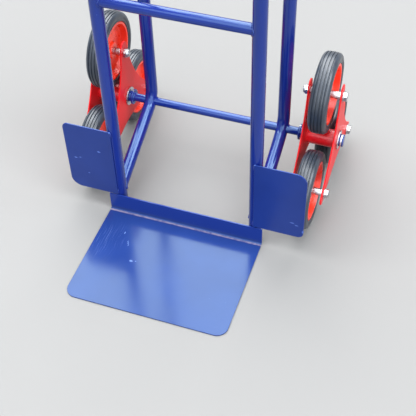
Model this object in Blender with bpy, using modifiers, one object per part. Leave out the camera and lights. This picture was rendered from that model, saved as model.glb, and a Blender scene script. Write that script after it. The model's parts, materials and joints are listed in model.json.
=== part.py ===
"""Stair-climbing hand truck: a welded blue tube frame with a folded toe plate, and two red three-armed
wheel stars that turn freely on one through axle.

X is the width, -Y is the front (the toe plate), +Z is up. The world origin is the centre of the footprint on
the floor. Lengths are in metres. The frame's own Y values are measured from the front face of the toe plate's
upright flange, and the root empty moves them to the footprint's centre.
"""

import math

import bmesh
import bpy
from mathutils import Matrix, Vector

# Driving dimensions
TUBE_R = 0.0125
TUBE_WALL = 0.0015
SHEET = 0.0025
GAP = 0.0003

WHEEL_R = 0.079
ARM_LENGTH = 0.112
WHEEL_X = 0.2235
AXLE_Y = 0.197
AXLE_R = 0.0085

TOE_WIDTH = 0.322
TOE_DEPTH = 0.234
TOE_FLANGE = 0.045
TOE_CORNER_R = 0.022
TOE_FOLD_R = 0.0035

WING_OUTER_X = 0.242
WING_LOW_Z = 0.048
WING_HIGH_Z = 0.215
WING_LARGE_R = 0.022
WING_SMALL_R = 0.012

UPRIGHT_X = 0.142
UPRIGHT_FOOT_Z = 0.0035
HANDLE_CORNER_Z = 1.060
HANDLE_RISE = math.radians(12)
HANDLE_LENGTH = 0.195
HANDLE_BEND_R = 0.065

REAR_TUBE_Y = 0.2065
REAR_LOW_CORNER_Z = 0.1347
REAR_LOW_SLOPE = math.radians(23)
REAR_LOW_BEND_R = 0.041
REAR_HIGH_CORNER_Z = 0.720
REAR_HIGH_SLOPE = math.radians(40)
REAR_HIGH_BEND_R = 0.075

CROSS_BAR_R = 0.010
CROSS_BAR_HEIGHTS = {"lower_cross_bar": 0.500, "middle_cross_bar": 0.730, "upper_cross_bar": 0.960}

STAR_SHEET = 0.003
STAR_HALF_WIDTH = 0.033
STAR_TIP_AT = 0.123
STAR_TIP_R = 0.014
STAR_WAIST_R = 0.054
BARREL_R = 0.018

COLLAR_R = 0.016
COLLAR_WIDTH = 0.0095
COLLAR_NECK_R = 0.0115
COLLAR_NECK = 0.0055
WASHER_R = 0.0195
WASHER_WIDTH = 0.003
CAP_R = 0.0125
CAP_WIDTH = 0.0085
CAP_WALL = 0.003
CAP_CHAMFER = 0.0025

BOLT_R = 0.005
BOLT_HEAD_AF = 0.017
BOLT_HEAD_HEIGHT = 0.0064
BOLT_WASHER_R = 0.0105
BOLT_WASHER = 0.002
NUT_HEIGHT = 0.010
BOLT_END = 0.001
SLEEVE_R = 0.0075

TYRE_BORE_R = 0.060
TYRE_BORE_CHAMFER = 0.002
TYRE_HALF_WIDTH = 0.0175
TYRE_SHOULDER_R = 0.009
RIM_HALF_WIDTH = 0.016
RIM_LIP = 0.007
RIM_WEB_HALF = 0.003
HUB_R = 0.017
HUB_HALF_LENGTH = 0.010

GRIP_R = 0.0165
GRIP_COLLAR_R = 0.021
GRIP_COLLAR_WIDTH = 0.006
GRIP_LENGTH = 0.118
GRIP_END_WALL = 0.004
GRIP_CHAMFER = 0.003

PLUG_HEAD = 0.0025
PLUG_SPIGOT = 0.014
PLUG_CLEARANCE = 0.0006

# Worked out from the driving dimensions
AXLE_Z = WHEEL_R + ARM_LENGTH / 2
STAR_ANGLES = [math.radians(90 + 120 * index) for index in range(3)]
UPRIGHT_Y = SHEET + GAP + TUBE_R
FOOTPRINT_BACK = AXLE_Y + ARM_LENGTH * math.cos(math.radians(30)) + WHEEL_R
FOOTPRINT_CENTRE_Y = (FOOTPRINT_BACK - TOE_DEPTH) / 2

# How finely round shapes are divided
WHEEL_STEPS = 24
TURN_STEPS = 20
SMALL_STEPS = 12
TUBE_BEVEL = 5
BEND_STEPS = 6
CORNER_STEPS = 5
TIP_STEPS = 6
WAIST_STEPS = 6
SHOULDER_STEPS = 2
SHARP_ANGLE = math.radians(35)
WELD_DISTANCE = 0.00001

SIDES = {"left": -1, "right": 1}

# The wheels of a star, in the order of its arms. The left star faces the other way, so front and rear swap.
WHEEL_SPOTS = {"left": ("top", "rear", "front"), "right": ("top", "front", "rear")}

COLOURS = {
    "frame_blue": ((0.030, 0.050, 0.260, 1.0), 0.28, 0.0),
    "star_red": ((0.560, 0.025, 0.025, 1.0), 0.30, 0.0),
    "rim_orange": ((0.800, 0.055, 0.020, 1.0), 0.35, 0.0),
    "tyre_rubber": ((0.020, 0.022, 0.026, 1.0), 0.70, 0.0),
    "zinc": ((0.720, 0.730, 0.750, 1.0), 0.30, 1.0),
    "grip_rubber": ((0.018, 0.018, 0.020, 1.0), 0.65, 0.0),
    "plug_plastic": ((0.020, 0.020, 0.022, 1.0), 0.50, 0.0),
}


# Scene, collections and materials

def clear_scene():
    for old in list(bpy.data.objects):
        bpy.data.objects.remove(old, do_unlink=True)


def make_collection(name):
    collection = bpy.data.collections.new(name)
    bpy.context.scene.collection.children.link(collection)
    return collection


def make_material(name, colour, roughness, metallic):
    material = bpy.data.materials.new(name)
    material.use_nodes = True
    shader = material.node_tree.nodes["Principled BSDF"]
    shader.inputs["Base Color"].default_value = colour
    shader.inputs["Roughness"].default_value = roughness
    shader.inputs["Metallic"].default_value = metallic
    material.diffuse_color = colour
    return material


clear_scene()
PARTS = make_collection("hand_truck")
CUTTERS = make_collection("cutters")
MATERIALS = {name: make_material(name, *look) for name, look in COLOURS.items()}


# Placing objects

def add_empty(name, parent=None, location=(0, 0, 0), rotation=(0, 0, 0)):
    empty = bpy.data.objects.new(name, None)
    empty.location = location
    empty.rotation_euler = rotation
    empty.parent = parent
    PARTS.objects.link(empty)
    return empty


def add_piece(name, data, material, parent, location=(0, 0, 0), rotation=(0, 0, 0)):
    piece = bpy.data.objects.new(name, data)
    piece.location = location
    piece.rotation_euler = rotation
    piece.parent = parent
    data.materials.clear()
    data.materials.append(MATERIALS[material])
    PARTS.objects.link(piece)
    return piece


def add_cutter(name, data, parent, location=(0, 0, 0), rotation=(0, 0, 0)):
    cutter = bpy.data.objects.new(name, data)
    cutter.location = location
    cutter.rotation_euler = rotation
    cutter.parent = parent
    cutter.hide_render = True
    cutter.display_type = "WIRE"
    CUTTERS.objects.link(cutter)
    return cutter


def boolean(piece, cutter, operation="DIFFERENCE"):
    modifier = piece.modifiers.new(operation.lower(), "BOOLEAN")
    modifier.operation = operation
    modifier.solver = "EXACT"
    modifier.object = cutter


def smooth_round_faces(mesh):
    mesh.shade_smooth()
    mesh.set_sharp_from_angle(angle=SHARP_ANGLE)


# Shapes

def rod_mesh(name, radius, length, steps):
    """A solid cylinder along Z, centred on its origin."""
    mesh = bpy.data.meshes.new(name)
    shape = bmesh.new()
    bmesh.ops.create_cone(shape, cap_ends=True, segments=steps, radius1=radius, radius2=radius, depth=length)
    shape.to_mesh(mesh)
    shape.free()
    return mesh


def turned(name, profile, material, parent, steps=TURN_STEPS, location=(0, 0, 0), rotation=(0, 0, 0)):
    """A piece turned about its own Z. Its (radius, height) outline runs down its outer side. It is a closed
    ring, or it starts and ends on the axis when the piece is solid there."""
    mesh = bpy.data.meshes.new(name)
    last = len(profile) - 1
    edges = [(index, index + 1) for index in range(last)]
    if profile[0][0] > 0:
        edges.append((last, 0))
    mesh.from_pydata([(radius, 0, height) for radius, height in profile], edges, [])
    piece = add_piece(name, mesh, material, parent, location, rotation)
    screw = piece.modifiers.new("turn", "SCREW")
    screw.steps = steps
    screw.render_steps = steps
    screw.use_merge_vertices = True
    screw.merge_threshold = WELD_DISTANCE
    screw.use_smooth_shade = True


def ring_profile(bore, radius, low, high):
    return [(bore, high), (radius, high), (radius, low), (bore, low)]


def arc_between(start, corner, end, radius, steps):
    """The arc that rounds one corner of a path, as points from the first tangent to the second."""
    into = (corner - start).normalized()
    out = (end - corner).normalized()
    turn = into.angle(out)
    first = corner - into * radius * math.tan(turn / 2)
    centre = corner + (out - into).normalized() * radius / math.cos(turn / 2)
    axis = into.cross(out)
    spoke = first - centre
    return [centre + Matrix.Rotation(turn * step / steps, 3, axis) @ spoke for step in range(steps + 1)]


def bent_path(corners, radii, steps):
    """A bent tube's centre line: straight runs between corners, each inner corner rounded by its radius."""
    corners = [Vector(corner) for corner in corners]
    points = [corners[0]]
    for index, radius in enumerate(radii):
        points += arc_between(corners[index], corners[index + 1], corners[index + 2], radius, steps)
    return points + [corners[-1]]


def rounded_outline(corners, radii, steps):
    """A closed flat outline, as (x, y, 0) points. A corner with no radius stays square."""
    corners = [Vector((x, y, 0)) for x, y in corners]
    count = len(corners)
    points = []
    for index, radius in enumerate(radii):
        if radius:
            after = corners[(index + 1) % count]
            points += arc_between(corners[index - 1], corners[index], after, radius, steps)
        else:
            points.append(corners[index])
    return points


def mesh_from_curve(name, curve):
    """The mesh that a curve evaluates to, with its loose caps welded on."""
    source = bpy.data.objects.new(name, curve)
    bpy.context.scene.collection.objects.link(source)
    bpy.context.view_layer.update()
    evaluated = source.evaluated_get(bpy.context.evaluated_depsgraph_get())
    mesh = bpy.data.meshes.new_from_object(evaluated)
    bpy.data.objects.remove(source, do_unlink=True)
    shape = bmesh.new()
    shape.from_mesh(mesh)
    bmesh.ops.remove_doubles(shape, verts=shape.verts, dist=WELD_DISTANCE)
    bmesh.ops.recalc_face_normals(shape, faces=shape.faces)
    shape.to_mesh(mesh)
    shape.free()
    return mesh


def poly_curve(name, points, cyclic):
    curve = bpy.data.curves.new(name, "CURVE")
    spline = curve.splines.new("POLY")
    spline.points.add(len(points) - 1)
    for point, place in zip(spline.points, points):
        point.co = (*place, 1)
    spline.use_cyclic_u = cyclic
    curve.render_resolution_u = 0
    return curve


def pipe_mesh(name, path, radius):
    """The open outer skin of a tube along a path. A Solidify modifier gives it its wall."""
    curve = poly_curve(name, path, cyclic=False)
    curve.dimensions = "3D"
    curve.bevel_depth = radius
    curve.bevel_resolution = TUBE_BEVEL
    curve.use_fill_caps = False
    return mesh_from_curve(name, curve)


def plate_mesh(name, outline, thickness):
    """A flat plate of the outline's shape, centred on its own XY plane."""
    curve = poly_curve(name, outline, cyclic=True)
    curve.dimensions = "2D"
    curve.fill_mode = "BOTH"
    curve.extrude = thickness / 2
    return mesh_from_curve(name, curve)


def pipe(name, path, radius, parent):
    """A hollow painted tube, open at both ends."""
    mesh = pipe_mesh(name, path, radius)
    smooth_round_faces(mesh)
    piece = add_piece(name, mesh, "frame_blue", parent)
    wall = piece.modifiers.new("wall", "SOLIDIFY")
    wall.thickness = TUBE_WALL
    wall.offset = -1
    wall.use_even_offset = True
    return piece


# The frame

def upright_cutter(side, root):
    """A rod a gap wider than the upright, which copes the end of each tube that is welded to it."""
    rod = rod_mesh(f"{side}_upright_cope", TUBE_R + GAP, HANDLE_CORNER_Z, TURN_STEPS)
    place = (SIDES[side] * UPRIGHT_X, UPRIGHT_Y, HANDLE_CORNER_Z / 2)
    return add_cutter(f"{side}_upright_cope", rod, root, place)


def axle_cutter(root):
    """A rod a gap wider than the axle, which drills both rear tubes."""
    rod = rod_mesh("axle_bore", AXLE_R + GAP, 2 * WHEEL_X, TURN_STEPS)
    return add_cutter("axle_bore", rod, root, (0, AXLE_Y, AXLE_Z), (0, math.radians(90), 0))


def handle_path(side):
    sign = SIDES[side]
    corner = Vector((sign * UPRIGHT_X, UPRIGHT_Y, HANDLE_CORNER_Z))
    end = corner + HANDLE_LENGTH * Vector((0, math.cos(HANDLE_RISE), math.sin(HANDLE_RISE)))
    return [(sign * UPRIGHT_X, UPRIGHT_Y, UPRIGHT_FOOT_Z), corner, end]


def upright(side, root):
    pipe(f"{side}_upright", bent_path(handle_path(side), [HANDLE_BEND_R], BEND_STEPS), TUBE_R, root)


def rear_tube(side, root, cope, bore):
    """The tube that leaves the upright's foot, turns up past the axle and comes back to the upright."""
    x = SIDES[side] * UPRIGHT_X
    run = REAR_TUBE_Y - UPRIGHT_Y
    corners = [
        (x, UPRIGHT_Y, REAR_LOW_CORNER_Z - run * math.tan(REAR_LOW_SLOPE)),
        (x, REAR_TUBE_Y, REAR_LOW_CORNER_Z),
        (x, REAR_TUBE_Y, REAR_HIGH_CORNER_Z),
        (x, UPRIGHT_Y, REAR_HIGH_CORNER_Z + run * math.tan(REAR_HIGH_SLOPE)),
    ]
    path = bent_path(corners, [REAR_LOW_BEND_R, REAR_HIGH_BEND_R], BEND_STEPS)
    piece = pipe(f"{side}_rear_tube", path, TUBE_R, root)
    boolean(piece, cope)
    boolean(piece, bore)


def cross_bar(name, height, root, copes):
    ends = [(-UPRIGHT_X, UPRIGHT_Y, height), (UPRIGHT_X, UPRIGHT_Y, height)]
    piece = pipe(name, bent_path(ends, [], BEND_STEPS), CROSS_BAR_R, root)
    for cope in copes:
        boolean(piece, cope)


def toe_plate(root):
    """One folded sheet: its side profile drawn out over the width, then its front corners rounded off."""
    profile = rounded_outline(
        [(-TOE_DEPTH, 0), (SHEET, 0), (SHEET, TOE_FLANGE), (0, TOE_FLANGE), (0, SHEET), (-TOE_DEPTH, SHEET)],
        [0, TOE_FOLD_R + SHEET, 0, 0, TOE_FOLD_R, 0],
        CORNER_STEPS,
    )
    upright_plane = (math.radians(90), 0, math.radians(90))
    mesh = plate_mesh("toe_plate", profile, TOE_WIDTH)
    piece = add_piece("toe_plate", mesh, "frame_blue", root, rotation=upright_plane)
    half = TOE_WIDTH / 2
    behind = 2 * SHEET
    footprint = rounded_outline(
        [(-half, -TOE_DEPTH), (half, -TOE_DEPTH), (half, behind), (-half, behind)],
        [TOE_CORNER_R, TOE_CORNER_R, 0, 0],
        CORNER_STEPS,
    )
    reach_past_flange = 3 * TOE_FLANGE
    blank = plate_mesh("toe_footprint", footprint, reach_past_flange)
    boolean(piece, add_cutter("toe_footprint", blank, root), "INTERSECT")


def wing_plate(side, root):
    """The side plate in front of an upright. Both are one blank, turned over, so their corners differ."""
    sign = SIDES[side]
    inner = sign * UPRIGHT_X
    outer = sign * WING_OUTER_X
    radii = {
        "left": [0, WING_LARGE_R, WING_SMALL_R, 0],
        "right": [0, WING_SMALL_R, WING_LARGE_R, 0],
    }
    outline = rounded_outline(
        [(inner, WING_LOW_Z), (outer, WING_LOW_Z), (outer, WING_HIGH_Z), (inner, WING_HIGH_Z)],
        radii[side],
        CORNER_STEPS,
    )
    mesh = plate_mesh(f"{side}_wing_plate", outline, SHEET)
    standing = (math.radians(90), 0, 0)
    add_piece(f"{side}_wing_plate", mesh, "frame_blue", root, (0, SHEET / 2, 0), standing)


def grip(side, root):
    """A rubber sleeve with a collar at its inner end and a closed outer end, pushed over the handle."""
    corner, end = (Vector(point) for point in handle_path(side)[1:])
    bore = TUBE_R + GAP
    closed = GRIP_END_WALL + GAP
    profile = [
        (0, closed),
        (GRIP_R - GRIP_CHAMFER, closed),
        (GRIP_R, closed - GRIP_CHAMFER),
        (GRIP_R, GRIP_COLLAR_WIDTH - GRIP_LENGTH),
        (GRIP_COLLAR_R, GRIP_COLLAR_WIDTH - GRIP_CHAMFER - GRIP_LENGTH),
        (GRIP_COLLAR_R, -GRIP_LENGTH),
        (bore, -GRIP_LENGTH),
        (bore, GAP),
        (0, GAP),
    ]
    along = (end - corner).to_track_quat("Z", "Y").to_euler()
    turned(f"{side}_grip", profile, "grip_rubber", root, location=end, rotation=along)


def foot_plug(side, root):
    """A plastic plug in the open foot of an upright: a spigot in the bore and a head as wide as the tube."""
    spigot = TUBE_R - TUBE_WALL - PLUG_CLEARANCE
    profile = [
        (0, PLUG_SPIGOT),
        (spigot, PLUG_SPIGOT),
        (spigot, 0),
        (TUBE_R, 0),
        (TUBE_R, -PLUG_HEAD),
        (0, -PLUG_HEAD),
    ]
    place = (SIDES[side] * UPRIGHT_X, UPRIGHT_Y, UPRIGHT_FOOT_Z - GAP)
    turned(f"{side}_foot_plug", profile, "plug_plastic", root, SMALL_STEPS, place)


# The axle and what holds the stars on it

def outward_turn(side):
    """The rotation that lays a piece's own Z along the axle, pointing out from the truck."""
    return (math.radians(90), 0, SIDES[side] * math.radians(90))


def axle_end_x():
    return WHEEL_X + STAR_HALF_WIDTH + GAP + WASHER_WIDTH + GAP + CAP_WIDTH


def axle(root):
    """One rod through both rear tubes. Its ends stop inside the end caps."""
    length = 2 * (axle_end_x() - CAP_WALL - GAP)
    rod = rod_mesh("axle", AXLE_R, length, TURN_STEPS)
    smooth_round_faces(rod)
    add_piece("axle", rod, "frame_blue", root, (0, AXLE_Y, AXLE_Z), (0, math.radians(90), 0))


def axle_fittings(side, root):
    """From the tube outward: a stop collar, a washer, the star (made elsewhere), a washer and an end cap."""
    turn = outward_turn(side)
    bore = AXLE_R + GAP

    def on_axle(name, profile, material, inner_x):
        place = (SIDES[side] * inner_x, AXLE_Y, AXLE_Z)
        turned(f"{side}_{name}", profile, material, root, location=place, rotation=turn)

    washer = ring_profile(bore, WASHER_R, 0, WASHER_WIDTH)
    inner_washer_x = WHEEL_X - STAR_HALF_WIDTH - GAP - WASHER_WIDTH
    on_axle("inner_washer", washer, "zinc", inner_washer_x)
    on_axle("outer_washer", washer, "zinc", WHEEL_X + STAR_HALF_WIDTH + GAP)
    neck_low = COLLAR_WIDTH - COLLAR_NECK
    neck = [(bore, COLLAR_WIDTH), (COLLAR_NECK_R, COLLAR_WIDTH), (COLLAR_NECK_R, neck_low)]
    collar = neck + [(COLLAR_R, neck_low), (COLLAR_R, 0), (bore, 0)]
    on_axle("stop_collar", collar, "frame_blue", inner_washer_x - GAP - COLLAR_WIDTH)
    cap = [
        (0, CAP_WIDTH),
        (CAP_R - CAP_CHAMFER, CAP_WIDTH),
        (CAP_R, CAP_WIDTH - CAP_CHAMFER),
        (CAP_R, 0),
        (bore, 0),
        (bore, CAP_WIDTH - CAP_WALL),
        (0, CAP_WIDTH - CAP_WALL),
    ]
    on_axle("end_cap", cap, "frame_blue", axle_end_x() - CAP_WIDTH)


# The wheel stars, made in a frame whose origin is the star's centre and whose Z points out from the truck

def arm_place(angle, height=0.0):
    return (ARM_LENGTH * math.cos(angle), ARM_LENGTH * math.sin(angle), height)


def star_outline():
    """Three rounded tips joined by shallow hollow arcs. Each arc touches two tips and clears the centre by
    STAR_WAIST_R."""
    inset = STAR_WAIST_R - STAR_TIP_R
    arc_centre = (STAR_TIP_AT**2 - inset**2) / (STAR_TIP_AT - 2 * inset)
    arc_r = arc_centre - STAR_WAIST_R
    points = []
    for angle in STAR_ANGLES:
        tip = STAR_TIP_AT * Vector((math.cos(angle), math.sin(angle), 0))
        next_waist = angle + math.radians(60)
        hollow = arc_centre * Vector((math.cos(next_waist), math.sin(next_waist), 0))
        touch = hollow - tip
        reach = math.remainder(math.atan2(touch.y, touch.x) - angle, math.tau)
        for step in range(TIP_STEPS + 1):
            around = angle - reach + 2 * reach * step / TIP_STEPS
            points.append(tip + STAR_TIP_R * Vector((math.cos(around), math.sin(around), 0)))
        back = tip - hollow
        start = math.atan2(back.y, back.x)
        sweep = 2 * math.remainder(next_waist + math.pi - start, math.tau)
        for step in range(1, WAIST_STEPS):
            around = start + sweep * step / WAIST_STEPS
            points.append(hollow + arc_r * Vector((math.cos(around), math.sin(around), 0)))
    return points


def star_plate(name, facing, star, cutters):
    """A flat plate. facing is +1 for a star's outer plate and -1 for the one nearest the truck."""
    mesh = plate_mesh(name, star_outline(), STAR_SHEET)
    middle = facing * (STAR_HALF_WIDTH - STAR_SHEET / 2)
    piece = add_piece(name, mesh, "star_red", star, (0, 0, middle))
    for cutter in cutters:
        boolean(piece, cutter)


def star_cutters(side, star):
    """Rods that drill a star's two plates: one for the axle and one for each wheel bolt."""
    past_both_plates = 3 * STAR_HALF_WIDTH
    axle_bore = rod_mesh(f"{side}_star_bore", AXLE_R + GAP, past_both_plates, TURN_STEPS)
    cutters = [add_cutter(f"{side}_star_bore", axle_bore, star)]
    for index, angle in enumerate(STAR_ANGLES):
        bolt_bore = rod_mesh(f"{side}_bolt_bore_{index}", BOLT_R + GAP, past_both_plates, SMALL_STEPS)
        cutters.append(add_cutter(f"{side}_bolt_bore_{index}", bolt_bore, star, arm_place(angle)))
    return cutters


def star_barrel(side, star):
    half = STAR_HALF_WIDTH - STAR_SHEET - GAP
    profile = ring_profile(AXLE_R + GAP, BARREL_R, -half, half)
    turned(f"{side}_star_barrel", profile, "star_red", star)


def hexagon_mesh(name, across_flats, height):
    return rod_mesh(name, across_flats / math.sqrt(3), height, 6)


def wheel_bolt(name, star, place):
    """A hexagon bolt with a fixed washer. Its head is outside the star, and its end passes the nut inside."""
    seat = STAR_HALF_WIDTH + GAP
    head_low = seat + BOLT_WASHER / 2
    head_high = seat + BOLT_WASHER + BOLT_HEAD_HEIGHT
    head = hexagon_mesh(name, BOLT_HEAD_AF, head_high - head_low)
    piece = add_piece(name, head, "zinc", star, Vector(place) + Vector((0, 0, (head_low + head_high) / 2)))
    shank_low = -seat - NUT_HEIGHT - BOLT_END
    shank_high = head_high - BOLT_HEAD_HEIGHT / 2
    for label, radius, low, high in (
        ("washer", BOLT_WASHER_R, seat, seat + BOLT_WASHER),
        ("shank", BOLT_R, shank_low, shank_high),
    ):
        rod = rod_mesh(f"{name}_{label}", radius, high - low, SMALL_STEPS)
        rod_place = Vector(place) + Vector((0, 0, (low + high) / 2))
        boolean(piece, add_cutter(f"{name}_{label}", rod, star, rod_place), "UNION")


def wheel_nut(name, star, place):
    middle = -STAR_HALF_WIDTH - GAP - NUT_HEIGHT / 2
    nut_place = Vector(place) + Vector((0, 0, middle))
    piece = add_piece(name, hexagon_mesh(name, BOLT_HEAD_AF, NUT_HEIGHT), "zinc", star, nut_place)
    bore = rod_mesh(f"{name}_bore", BOLT_R + GAP, 2 * NUT_HEIGHT, SMALL_STEPS)
    boolean(piece, add_cutter(f"{name}_bore", bore, star, nut_place))


def wheel_sleeve(name, star, place):
    """The steel sleeve that the bolt clamps between the plates, and that the hub turns on."""
    half = STAR_HALF_WIDTH - STAR_SHEET - GAP
    turned(name, ring_profile(BOLT_R + GAP, SLEEVE_R, -half, half), "zinc", star, SMALL_STEPS, place)


def tyre(name, wheel):
    """A solid rubber ring with rounded shoulders and a chamfered bore."""
    upper = [(TYRE_BORE_R, TYRE_HALF_WIDTH - TYRE_BORE_CHAMFER)]
    for step in range(SHOULDER_STEPS + 1):
        turn = math.radians(90) * step / SHOULDER_STEPS
        radius = WHEEL_R - TYRE_SHOULDER_R * (1 - math.sin(turn))
        height = TYRE_HALF_WIDTH - TYRE_SHOULDER_R * (1 - math.cos(turn))
        upper.append((radius, height))
    lower = [(radius, -height) for radius, height in reversed(upper)]
    turned(name, upper + lower, "tyre_rubber", wheel, WHEEL_STEPS)


def rim(name, wheel):
    """A dished rim: an outer band with a lip each side, a thin web and a hub bored for the sleeve."""
    outer = TYRE_BORE_R - 2 * GAP
    lip = outer - RIM_LIP
    bore = SLEEVE_R + GAP
    upper = [
        (bore, HUB_HALF_LENGTH),
        (HUB_R, HUB_HALF_LENGTH),
        (HUB_R + RIM_WEB_HALF, RIM_WEB_HALF),
        (lip - RIM_WEB_HALF, RIM_WEB_HALF),
        (lip, RIM_HALF_WIDTH),
        (outer, RIM_HALF_WIDTH),
    ]
    lower = [(radius, -height) for radius, height in reversed(upper)]
    turned(name, upper + lower, "rim_orange", wheel, WHEEL_STEPS)


def wheel_star(side, root):
    """One star: two plates and a barrel on the axle, and three wheels bolted between the plates' arms."""
    place = (SIDES[side] * WHEEL_X, AXLE_Y, AXLE_Z)
    star = add_empty(f"{side}_star_axis", root, place, outward_turn(side))
    cutters = star_cutters(side, star)
    star_plate(f"{side}_star_inner_plate", -1, star, cutters)
    star_plate(f"{side}_star_outer_plate", 1, star, cutters)
    star_barrel(side, star)
    for angle, spot in zip(STAR_ANGLES, WHEEL_SPOTS[side]):
        arm = arm_place(angle)
        stem = f"{side}_{spot}_wheel"
        wheel_bolt(f"{stem}_bolt", star, arm)
        wheel_nut(f"{stem}_nut", star, arm)
        wheel_sleeve(f"{stem}_sleeve", star, arm)
        wheel = add_empty(f"{stem}_axis", star, arm)
        tyre(f"{side}_{spot}_tyre", wheel)
        rim(f"{side}_{spot}_rim", wheel)


def build_truck():
    root = add_empty("truck_root", location=(0, -FOOTPRINT_CENTRE_Y, 0))
    toe_plate(root)
    copes = [upright_cutter(side, root) for side in SIDES]
    bore = axle_cutter(root)
    for side, cope in zip(SIDES, copes):
        wing_plate(side, root)
        upright(side, root)
        rear_tube(side, root, cope, bore)
        grip(side, root)
        foot_plug(side, root)
    for name, height in CROSS_BAR_HEIGHTS.items():
        cross_bar(name, height, root, copes)
    axle(root)
    for side in SIDES:
        axle_fittings(side, root)
        wheel_star(side, root)
    bpy.context.view_layer.update()


build_truck()
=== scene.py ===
"""The looks of a stair-climbing hand truck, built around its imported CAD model.

X is the width, -Y is the front (the toe plate), +Z is up, and lengths are in metres. Each CAD node is
replaced by a finer mesh in the same place. Meshes are made in the row frame, with their objects at the
origin, so the object coordinates that the materials read are places on the truck at rest.
"""

import json
import math

import bmesh
import bpy
from mathutils import Matrix, Vector, noise


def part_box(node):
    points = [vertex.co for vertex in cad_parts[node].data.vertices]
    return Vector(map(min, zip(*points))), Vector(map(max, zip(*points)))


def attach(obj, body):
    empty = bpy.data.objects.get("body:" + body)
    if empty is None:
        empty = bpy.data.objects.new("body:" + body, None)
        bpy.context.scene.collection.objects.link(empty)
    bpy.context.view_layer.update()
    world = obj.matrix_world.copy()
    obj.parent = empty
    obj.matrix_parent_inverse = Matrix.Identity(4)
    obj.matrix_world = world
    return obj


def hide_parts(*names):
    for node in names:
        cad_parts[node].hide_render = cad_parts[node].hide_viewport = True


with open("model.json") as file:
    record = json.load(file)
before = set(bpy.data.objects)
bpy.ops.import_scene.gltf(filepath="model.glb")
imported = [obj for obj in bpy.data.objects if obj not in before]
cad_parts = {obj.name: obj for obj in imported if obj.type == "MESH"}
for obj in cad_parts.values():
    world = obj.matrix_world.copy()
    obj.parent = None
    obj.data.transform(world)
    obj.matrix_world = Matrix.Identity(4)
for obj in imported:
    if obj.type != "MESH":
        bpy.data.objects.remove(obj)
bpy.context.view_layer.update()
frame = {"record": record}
BODY_OF = {node: body for body, nodes in frame["record"]["behaviour"]["bodies"].items() for node in nodes}
SIDES = {"left": -1, "right": 1}
SPOTS = ("top", "front", "rear")
CROSS_BARS = ("lower_cross_bar", "middle_cross_bar", "upper_cross_bar")


def centre(node):
    low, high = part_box(node)
    return (low + high) / 2


def size(node):
    low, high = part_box(node)
    return high - low


def turned_size(node):
    """Half the length along X, and the radius, of a node that is round about X."""
    return size(node).x / 2, size(node).z / 2


# Sizes that the frame gives
FRONT_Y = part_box("left_wing_plate")[0].y
SHEET = size("left_wing_plate").y
TUBE_R = size("left_upright").x / 2
UPRIGHT_X = centre("right_upright").x
UPRIGHT_Y = centre("right_foot_plug").y
UPRIGHT_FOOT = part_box("left_upright")[0].z
AXLE = centre("axle")
AXLE_HALF, AXLE_R = turned_size("axle")
WHEEL_X = centre("right_top_tyre").x
WHEEL_R = centre("right_front_tyre").z
TYRE_HALF = size("right_top_tyre").x / 2
RIM_HALF, RIM_R = turned_size("right_top_rim")
ARM_LENGTH = centre("right_top_tyre").z - AXLE.z
STAR_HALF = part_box("right_star_outer_plate")[1].x - WHEEL_X
BARREL_HALF, BARREL_R = turned_size("right_star_barrel")
SLEEVE_R = turned_size("right_top_wheel_sleeve")[1]
NUT_HEIGHT = size("right_top_wheel_nut").x
BOLT_AF = size("right_top_wheel_nut").y

# Sizes that the frame's boxes don't give
GAP = 0.0003
TUBE_WALL = 0.0015
SHEET_EDGE_R = 0.0005
TOE_CORNER_R = 0.022
TOE_FOLD_R = 0.0035
TOE_WAVE_HEIGHT = 0.00035
TOE_WAVES_PER_METRE = 9.0
WING_LARGE_R = 0.022
WING_SMALL_R = 0.012
HANDLE_CORNER_Z = 1.060
HANDLE_RISE = math.radians(12)
HANDLE_LENGTH = 0.195
HANDLE_BEND_R = 0.065
REAR_TUBE_Y = AXLE.y + 0.0095
REAR_LOW_CORNER_Z = 0.1347
REAR_LOW_SLOPE = math.radians(23)
REAR_LOW_BEND_R = 0.041
REAR_HIGH_CORNER_Z = 0.720
REAR_HIGH_SLOPE = math.radians(40)
REAR_HIGH_BEND_R = 0.075
CROSS_BAR_R = 0.010
SEAM_WIDTH = 0.0046
FINE_SEAM_WIDTH = 0.0040
WASHER_EDGE_R = 0.0006
COLLAR_NECK_R = 0.0115
COLLAR_NECK = 0.0055
STAR_SHEET = 0.003
STAR_EDGE_R = 0.0006
STAR_TIP_AT = 0.123
STAR_TIP_R = 0.014
STAR_WAIST_R = 0.054
STAR_ANGLES = [math.radians(90 + 120 * index) for index in range(3)]
BOLT_R = 0.005
BOLT_WASHER_R = 0.0105
BOLT_WASHER = 0.002
BOLT_END = 0.001
HEXAGON_FACE_R = BOLT_AF / 2 * 0.96
HEXAGON_SLOPE = math.tan(math.radians(30))
FASTENER_STEPS = 72
TYRE_BORE_R = 0.060


# Gathering a mesh

class Shape:
    """The points and faces of one piece while it is being made."""

    def __init__(self):
        self.points = []
        self.faces = []

    def ring(self, points):
        start = len(self.points)
        self.points += points
        return list(range(start, len(self.points)))

    def bridge(self, first, second, closed=True):
        count = len(first)
        for index in range(count if closed else count - 1):
            after = (index + 1) % count
            self.faces.append((first[index], first[after], second[after], second[index]))

    def bridge_all(self, rings, closed=True):
        for first, second in zip(rings, rings[1:]):
            self.bridge(first, second, closed)

    def cap(self, ring):
        self.faces.append(tuple(ring))

    def fan(self, ring, point):
        tip = self.ring([point])[0]
        for index, here in enumerate(ring):
            self.faces.append((here, ring[(index + 1) % len(ring)], tip))


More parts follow.
